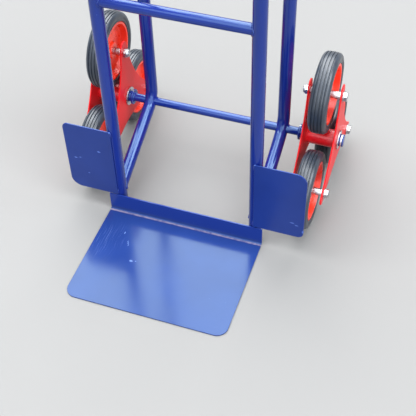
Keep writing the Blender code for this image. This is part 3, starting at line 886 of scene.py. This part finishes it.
def axle():
    place = outward_place("right", Vector((0, AXLE.y, AXLE.z)))
    chamfer = 0.001
    end = AXLE_HALF - chamfer
    profile = [
        (0, AXLE_HALF), (AXLE_R - chamfer, AXLE_HALF), (AXLE_R, end),
        (AXLE_R, -end), (AXLE_R - chamfer, -AXLE_HALF), (0, -AXLE_HALF),
    ]
    add_turned("axle_rod", profile, place, 64, FRAME_BLUE, "axle", closed=False)


def stop_collar(side):
    """The collar that keeps the star in place: a thin neck by the washer, a wide ring, and a weld."""
    node = f"{side}_stop_collar"
    half, radius = turned_size(node)
    bore = AXLE_R + GAP
    neck = half - COLLAR_NECK
    outline = rounded(
        [(bore, half), (COLLAR_NECK_R, half), (COLLAR_NECK_R, neck), (radius, neck), (radius, -half),
         (bore, -half)],
        [0.0003, 0.0003, 0.0006, 0.0009, 0.0012, 0.0003],
        6,
    )
    place = outward_place(side, centre(node))
    add_turned(f"{node}_turned", outline, place, 72, FRAME_BLUE, node)
    ring = circle(AXLE_R + 2 * GAP, -half, 48, place)
    weld(f"{side}_collar_weld", ring + [ring[0]], 0.0042)


def washer(side, name):
    node = f"{side}_{name}"
    half, radius = turned_size(node)
    section = ring_section(AXLE_R + GAP, radius, half, [WASHER_EDGE_R] * 4, 6)
    add_turned(f"{node}_turned", section, outward_place(side, centre(node)), 72, ZINC, node)


def hexagon_ring(shape, place, height, slope=0.0, across_flats=BOLT_AF, steps=FASTENER_STEPS):
    """The edge of a hexagon. With a slope, the edge of a bolt head or a nut drops towards the corners."""
    sixth = math.tau / 6
    points = []
    for turn in turns(steps):
        reach = across_flats / 2 / math.cos((turn + sixth / 2) % sixth - sixth / 2)
        drop = (reach - HEXAGON_FACE_R) * slope
        points.append(polar(place, reach, turn, height - drop))
    return shape.ring(points)


def set_screw(side):
    """The socket screw in the top of the stop collar's wide ring."""
    node = f"{side}_stop_collar"
    out = Vector((SIDES[side] * COLLAR_NECK / 2, 0, 0))
    place = Matrix.Translation(centre(node) - out + Vector((0, 0, turned_size(node)[1])))
    screw_r, socket_af, proud, deep, soft, steps = 0.0017, 0.0017, 0.0008, 0.0012, 0.0004, 36
    shape = Shape()
    outside = [(screw_r, -0.001), (screw_r, proud - soft), (screw_r - soft, proud)]
    rings = turned_rings(shape, outside, place, steps)
    for height in (proud, proud - deep):
        rings.append(hexagon_ring(shape, place, height, 0.0, socket_af, steps))
    shape.bridge_all(rings)
    shape.cap(rings[0])
    shape.cap(rings[-1])
    add_piece(f"{side}_collar_set_screw", shape, ZINC, body="frame")


def end_cap(side):
    """The cap on the axle's end: a blue cap with a bright ring let into its rim."""
    node = f"{side}_end_cap"
    low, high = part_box(node)
    width, radius = high.x - low.x, turned_size(node)[1]
    bore = AXLE_R + GAP
    wall, ring_depth, clear = 0.003, 0.0016, 0.0001
    ring_low, ring_high, ring_r = width * 0.20, width * 0.66, radius - ring_depth
    place = outward_place(side, Vector((SIDES[side] * min(abs(low.x), abs(high.x)), AXLE.y, AXLE.z)))
    cap = rounded(
        [(0, width), (radius, width), (radius, ring_high), (ring_r, ring_high), (ring_r, ring_low),
         (radius, ring_low), (radius, 0), (bore, 0), (bore, width - wall), (0, width - wall)],
        [0, 0.0014, 0.0003, 0, 0, 0.0003, 0.0005, 0.0003, 0, 0],
    )
    add_turned(f"{node}_turned", cap, place, 72, FRAME_BLUE, node, closed=False)
    ring = rounded(
        [(ring_r + clear, ring_high - clear), (radius - clear, ring_high - clear),
         (radius - clear, ring_low + clear), (ring_r + clear, ring_low + clear)],
        [0, 0.0004, 0.0004, 0],
    )
    add_turned(f"{node}_bright_ring", ring, place, 72, ZINC, body="frame")


# The wheel stars, in a local frame whose Z points out from the truck

def star_place(side):
    return outward_place(side, centre(f"{side}_star_barrel"))


def direction_at(angle):
    return Vector((math.cos(angle), math.sin(angle), 0))


def star_outline():
    """Three round tips joined by shallow hollow arcs that touch them, as places and outward directions."""
    tip_steps, waist_steps = 22, 30
    inset = STAR_WAIST_R - STAR_TIP_R
    arc_centre = (STAR_TIP_AT**2 - inset**2) / (STAR_TIP_AT - 2 * inset)
    arc_r = arc_centre - STAR_WAIST_R
    points = []
    for angle in STAR_ANGLES:
        tip = STAR_TIP_AT * direction_at(angle)
        next_waist = angle + math.radians(60)
        hollow = arc_centre * direction_at(next_waist)
        touch = hollow - tip
        reach = math.remainder(math.atan2(touch.y, touch.x) - angle, math.tau)
        for step in range(tip_steps + 1):
            out = direction_at(angle - reach + 2 * reach * step / tip_steps)
            points.append((tip + STAR_TIP_R * out, out))
        start = math.atan2(-touch.y, -touch.x)
        sweep = 2 * math.remainder(next_waist + math.pi - start, math.tau)
        for step in range(1, waist_steps):
            out = direction_at(start + sweep * step / waist_steps)
            points.append((hollow + arc_r * out, -out))
    return points


def star_plate(side, layer, facing):
    """A flat cut plate with its edges slightly broken, and four holes."""
    node = f"{side}_star_{layer}_plate"
    place = star_place(side)
    outline = star_outline()
    edge_steps, margin = 4, 0.0012
    within = -STAR_EDGE_R - margin
    section = [(within, 0.0)]
    for corner, start in ((STAR_EDGE_R, 0), (STAR_SHEET - STAR_EDGE_R, 90)):
        for step in range(edge_steps + 1):
            turn = math.radians(start + 90 * step / edge_steps)
            section.append((STAR_EDGE_R * (math.sin(turn) - 1), corner - STAR_EDGE_R * math.cos(turn)))
    section.append((within, STAR_SHEET))
    shape = Shape()
    rings = []
    for offset, depth in section:
        height = Vector((0, 0, facing * (STAR_HALF - depth)))
        rings.append(shape.ring([place @ (point + out * offset + height) for point, out in outline]))
    shape.bridge_all(rings)
    bores = [(AXLE_R + GAP, (0, 0), 48)]
    bores += [(BOLT_R + GAP, tuple(ARM_LENGTH * direction_at(angle))[:2], 28) for angle in STAR_ANGLES]
    faces = []
    for depth, edge in ((0.0, rings[0]), (STAR_SHEET, rings[-1])):
        height = facing * (STAR_HALF - depth)
        holes = [shape.ring(circle(r, height, steps, place, middle)) for r, middle, steps in bores]
        faces.append((edge, holes))
    for upper, lower in zip(faces[0][1], faces[1][1]):
        shape.bridge(upper, lower)
    fill_flats(shape, faces)
    add_piece(f"{node}_cut", shape, STAR_RED, node)


def fill_flats(shape, faces):
    """Fills each flat face between its edge ring and its holes."""
    work = bmesh.new()
    for edge, holes in faces:
        corners = {}
        edges = []
        for ring in [edge] + holes:
            for index in ring:
                corners[index] = work.verts.new(shape.points[index])
            for index, here in enumerate(ring):
                edges.append(work.edges.new((corners[here], corners[ring[(index + 1) % len(ring)]])))
        names = {vert: index for index, vert in corners.items()}
        made = bmesh.ops.triangle_fill(work, use_beauty=True, edges=edges)["geom"]
        for part in made:
            if isinstance(part, bmesh.types.BMFace):
                shape.faces.append(tuple(names[vert] for vert in part.verts))
    work.free()


def star_barrel(side):
    """The tube between the star's plates that turns on the axle, welded to both."""
    node = f"{side}_star_barrel"
    place = star_place(side)
    section = ring_section(AXLE_R + GAP, BARREL_R, BARREL_HALF, [0, 0.0006, 0.0006, 0])
    add_turned(f"{node}_turned", section, place, 80, BARREL_RED, node)
    for layer, face in (("inner", -1), ("outer", 1)):
        ring = circle(BARREL_R, face * (BARREL_HALF - 0.0004), 60, place)
        weld(f"{side}_barrel_{layer}_weld", ring + [ring[0]], 0.0044, f"{side}_star")


def thread_rings(shape, place, start, end):
    """A threaded rod's rings from start to its chamfered end."""
    pitch, depth, chamfer, rows_per_pitch = 0.0015, 0.0008, 0.0011, 10
    rows = int(abs(end - start) / pitch * rows_per_pitch)
    rings = []
    for row in range(rows + 1):
        height = start + (end - start) * row / rows
        turned_off = max(0.0, chamfer - abs(end - height))
        points = []
        for turn in turns(FASTENER_STEPS):
            phase = (height / pitch - turn / math.tau) % 1.0
            cut = min(max(depth * (1 - abs(2 * phase - 1) * 1.25), 0.0), depth * 0.85)
            reach = BOLT_R - max(cut, turned_off)
            points.append(polar(place, reach, turn, height))
        rings.append(shape.ring(points))
    return rings


def bolt_place(side, spot):
    return outward_place(side, centre(f"{side}_{spot}_wheel_sleeve"))


def wheel_bolt(side, spot):
    """A hexagon bolt: head and fixed washer outside the star, a plain shank, and a thread past the nut."""
    node = f"{side}_{spot}_wheel_bolt"
    place = bolt_place(side, spot)
    low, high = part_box(node)
    seat = STAR_HALF + GAP
    head_low, head_high = seat + BOLT_WASHER, max(-low.x, high.x) - WHEEL_X
    soft = 0.0004
    shape = Shape()
    rings = turned_rings(shape, [(HEXAGON_FACE_R, head_high)], place)
    rings += [hexagon_ring(shape, place, head_high, HEXAGON_SLOPE), hexagon_ring(shape, place, head_low)]
    rings += turned_rings(shape, [
        (BOLT_WASHER_R - soft, head_low), (BOLT_WASHER_R, head_low - soft), (BOLT_WASHER_R, seat + soft),
        (BOLT_WASHER_R - soft, seat), (BOLT_R, seat), (BOLT_R, -STAR_HALF),
    ], place)
    rings += thread_rings(shape, place, -seat, -seat - NUT_HEIGHT - BOLT_END)
    shape.bridge_all(rings)
    shape.cap(rings[0])
    shape.cap(rings[-1])
    add_piece(f"{node}_threaded", shape, ZINC, node)


def wheel_nut(side, spot):
    """A lock nut: a hexagon against the inner plate, then the round collar that holds its locking ring."""
    node = f"{side}_{spot}_wheel_nut"
    place = bolt_place(side, spot)
    seat = -STAR_HALF - GAP
    top = seat - NUT_HEIGHT
    hexagon_top = seat - NUT_HEIGHT * 0.66
    collar_r, collar_round, round_steps, mouth = BOLT_AF / 2 * 0.92, 0.0022, 6, 0.0007
    bore = BOLT_R + GAP / 2
    shape = Shape()
    rings = turned_rings(shape, [(HEXAGON_FACE_R, seat)], place)
    rings += [
        hexagon_ring(shape, place, seat, HEXAGON_SLOPE),
        hexagon_ring(shape, place, hexagon_top, -HEXAGON_SLOPE),
    ]
    profile = [(HEXAGON_FACE_R, hexagon_top), (collar_r, hexagon_top)]
    for step in range(round_steps + 1):
        turn = math.pi / 2 * step / round_steps
        height = top + collar_round * (1 - math.sin(turn))
        profile.append((collar_r - collar_round * (1 - math.cos(turn)), height))
    profile += [(bore + mouth, top), (bore, top + mouth), (bore, seat - mouth), (bore + mouth, seat)]
    rings += turned_rings(shape, profile, place)
    shape.bridge_all(rings + [rings[0]])
    add_piece(f"{node}_collared", shape, ZINC, node)


def wheel_sleeve(side, spot):
    node = f"{side}_{spot}_wheel_sleeve"
    section = ring_section(BOLT_R + GAP, SLEEVE_R, BARREL_HALF, [0, 0.0005, 0.0005, 0])
    add_turned(f"{node}_turned", section, outward_place(side, centre(node)), 48, ZINC, node)


def tread_height(across):
    """The tyre's radius at a distance across its tread: a slight crown, round shoulders and four grooves."""
    flat, crown, shoulder = 0.0085, 0.0004, 0.009
    groove_half, groove_depth, groove_steepness = 0.00115, 0.0020, 2.2
    beyond = max(0.0, abs(across) - flat)
    radius = WHEEL_R - crown * min(1.0, (across / flat) ** 2)
    radius -= (shoulder - crown) * (1 - math.sqrt(max(0.0, 1 - (beyond / shoulder) ** 2)))
    for groove in (-0.0096, -0.0034, 0.0034, 0.0096):
        off = abs(across - groove) / groove_half
        if off < 1:
            radius -= groove_depth * min(1.0, groove_steepness * (1 - off))
    return radius


# A tyre's side from its bore outward: the distance from the bore, and the depth below the tyre's full width
TYRE_SIDE = (
    (0.0, 0.0022), (0.0008, 0.0008), (0.0022, 0.0003), (0.0030, 0.0003),
    (0.0036, 0.0011), (0.0062, 0.0012), (0.0068, 0.0004), (0.0078, 0.0002),
)


def tyre(side, spot):
    """A solid rubber tyre: a grooved tread, round shoulders, and a raised ring beside a shallow channel."""
    node = f"{side}_{spot}_tyre"
    across_steps = 96
    wall = [(TYRE_BORE_R + out, TYRE_HALF - depth) for out, depth in TYRE_SIDE]
    profile = list(wall)
    for step in range(across_steps + 1):
        across = wall[-1][1] * math.cos(math.pi * step / across_steps)
        profile.append((tread_height(across), across))
    profile += [(radius, -height) for radius, height in reversed(wall)]
    place = outward_place(side, centre(node))
    add_turned(f"{node}_grooved", profile, place, 144, TYRE_RUBBER, node, sharp=40)


def rim(side, spot):
    """A dished rim: an outer band with a lip each side, a web and a hub."""
    node = f"{side}_{spot}_rim"
    hub_r, hub_half, hub_draft, web = 0.017, 0.010, 0.0006, 0.003
    band, lip = 0.0086, 0.0050
    upper = [
        (SLEEVE_R + GAP, hub_half), (hub_r - hub_draft, hub_half), (hub_r + hub_draft, web),
        (RIM_R - band, web), (RIM_R - lip, RIM_HALF), (RIM_R, RIM_HALF),
    ]
    radii = [0.0005, 0.0012, 0.0030, 0.0035, 0.0012, 0.0008]
    lower = [(radius, -height) for radius, height in reversed(upper)]
    outline = rounded(upper + lower, radii + radii[::-1], 6)
    add_turned(f"{node}_moulded", outline, outward_place(side, centre(node)), 120, RIM_ORANGE, node)


# Floor, lights and camera

FLOOR_HALF = 30.0
FLOOR_COLOUR = (0.180, 0.176, 0.172)
FLOOR_ROUGHNESS = 0.9
BACKDROP_COLOUR = (0.974, 0.992, 1.0)
BACKDROP_TOP = 0.3
HORIZON = 0.885
ZENITH = 0.50
TOP_LIGHTS = {"left": (-0.64, -0.02, 0.77), "middle": (0.0, -0.02, 1.0), "right": (0.64, -0.02, 0.77)}
CAMERA_AT = (0.4574, -1.1675, 1.3473)
CAMERA_TURN = (42.349, 1.397, 19.081)
CAMERA_LENS = 76.924
CAMERA_SHIFT = (0.006812, 0.006297)


def floor():
    material, tree, shader, _ = new_material("floor_pale")
    set_inputs(tree, shader, {"Base Color": (*FLOOR_COLOUR, 1), "Roughness": FLOOR_ROUGHNESS})
    mesh = bpy.data.meshes.new("floor")
    corners = [(x * FLOOR_HALF, y * FLOOR_HALF, 0) for x, y in ((-1, -1), (1, -1), (1, 1), (-1, 1))]
    mesh.from_pydata(corners, [], [(0, 1, 2, 3)])
    mesh.materials.append(material)
    ground = bpy.data.objects.new("floor", mesh)
    bpy.context.scene.collection.objects.link(ground)


def wide_light(name, toward, width, strength, colour):
    """A round light width degrees across, far away, so that it lights the near and the far floor alike."""
    data = bpy.data.lights.new(name, "SUN")
    data.energy = strength
    data.angle = math.radians(width)
    data.color = colour
    lamp = bpy.data.objects.new(name, data)
    lamp.rotation_euler = Vector(toward).to_track_quat("Z", "Y").to_euler()
    lamp.visible_camera = False
    bpy.context.scene.collection.objects.link(lamp)


def studio():
    """A backdrop that meets the floor without a line, a light behind, a wide fill in front and 3 above."""
    world = bpy.data.worlds.new("studio")
    world.use_nodes = True
    tree = world.node_tree
    toward = add_node(tree, "ShaderNodeTexCoord").outputs["Generated"]
    height = add_node(tree, "ShaderNodeSeparateXYZ", {"Vector": toward}).outputs["Z"]
    set_inputs(tree, tree.nodes["Background"], {
        "Color": (*BACKDROP_COLOUR, 1),
        "Strength": between(tree, height, 0.0, BACKDROP_TOP, HORIZON, ZENITH),
    })
    bpy.context.scene.world = world
    wide_light("back_light", (-0.265, 0.569, 0.779), 54, 4.8, (0.96, 0.985, 1.0))
    wide_light("front_fill", (0.40, -0.63, 0.66), 90, 4.5, (0.88, 0.94, 1.0))
    for name, toward in TOP_LIGHTS.items():
        wide_light(f"{name}_top_light", toward, 36, 1.9, (0.95, 0.98, 1.0))
    bpy.context.scene.view_settings.view_transform = "Standard"


def camera():
    data = bpy.data.cameras.new("camera")
    data.lens = CAMERA_LENS
    data.sensor_width = 36.0
    data.shift_x, data.shift_y = CAMERA_SHIFT
    eye = bpy.data.objects.new("camera", data)
    eye.location = CAMERA_AT
    eye.rotation_euler = [math.radians(turn) for turn in CAMERA_TURN]
    bpy.context.scene.collection.objects.link(eye)
    bpy.context.scene.camera = eye


def build():
    toe_plate()
    for side in SIDES:
        wing_plate(side)
        upright(side)
        rear_tube(side)
        grip(side)
        foot_plug(side)
    for node in CROSS_BARS:
        cross_bar(node)
    frame_welds()
    axle()
    for side in SIDES:
        stop_collar(side)
        set_screw(side)
        washer(side, "inner_washer")
        washer(side, "outer_washer")
        end_cap(side)
        star_plate(side, "inner", -1)
        star_plate(side, "outer", 1)
        star_barrel(side)
        for spot in SPOTS:
            wheel_bolt(side, spot)
            wheel_nut(side, spot)
            wheel_sleeve(side, spot)
            tyre(side, spot)
            rim(side, spot)


build()
floor()
studio()
camera()
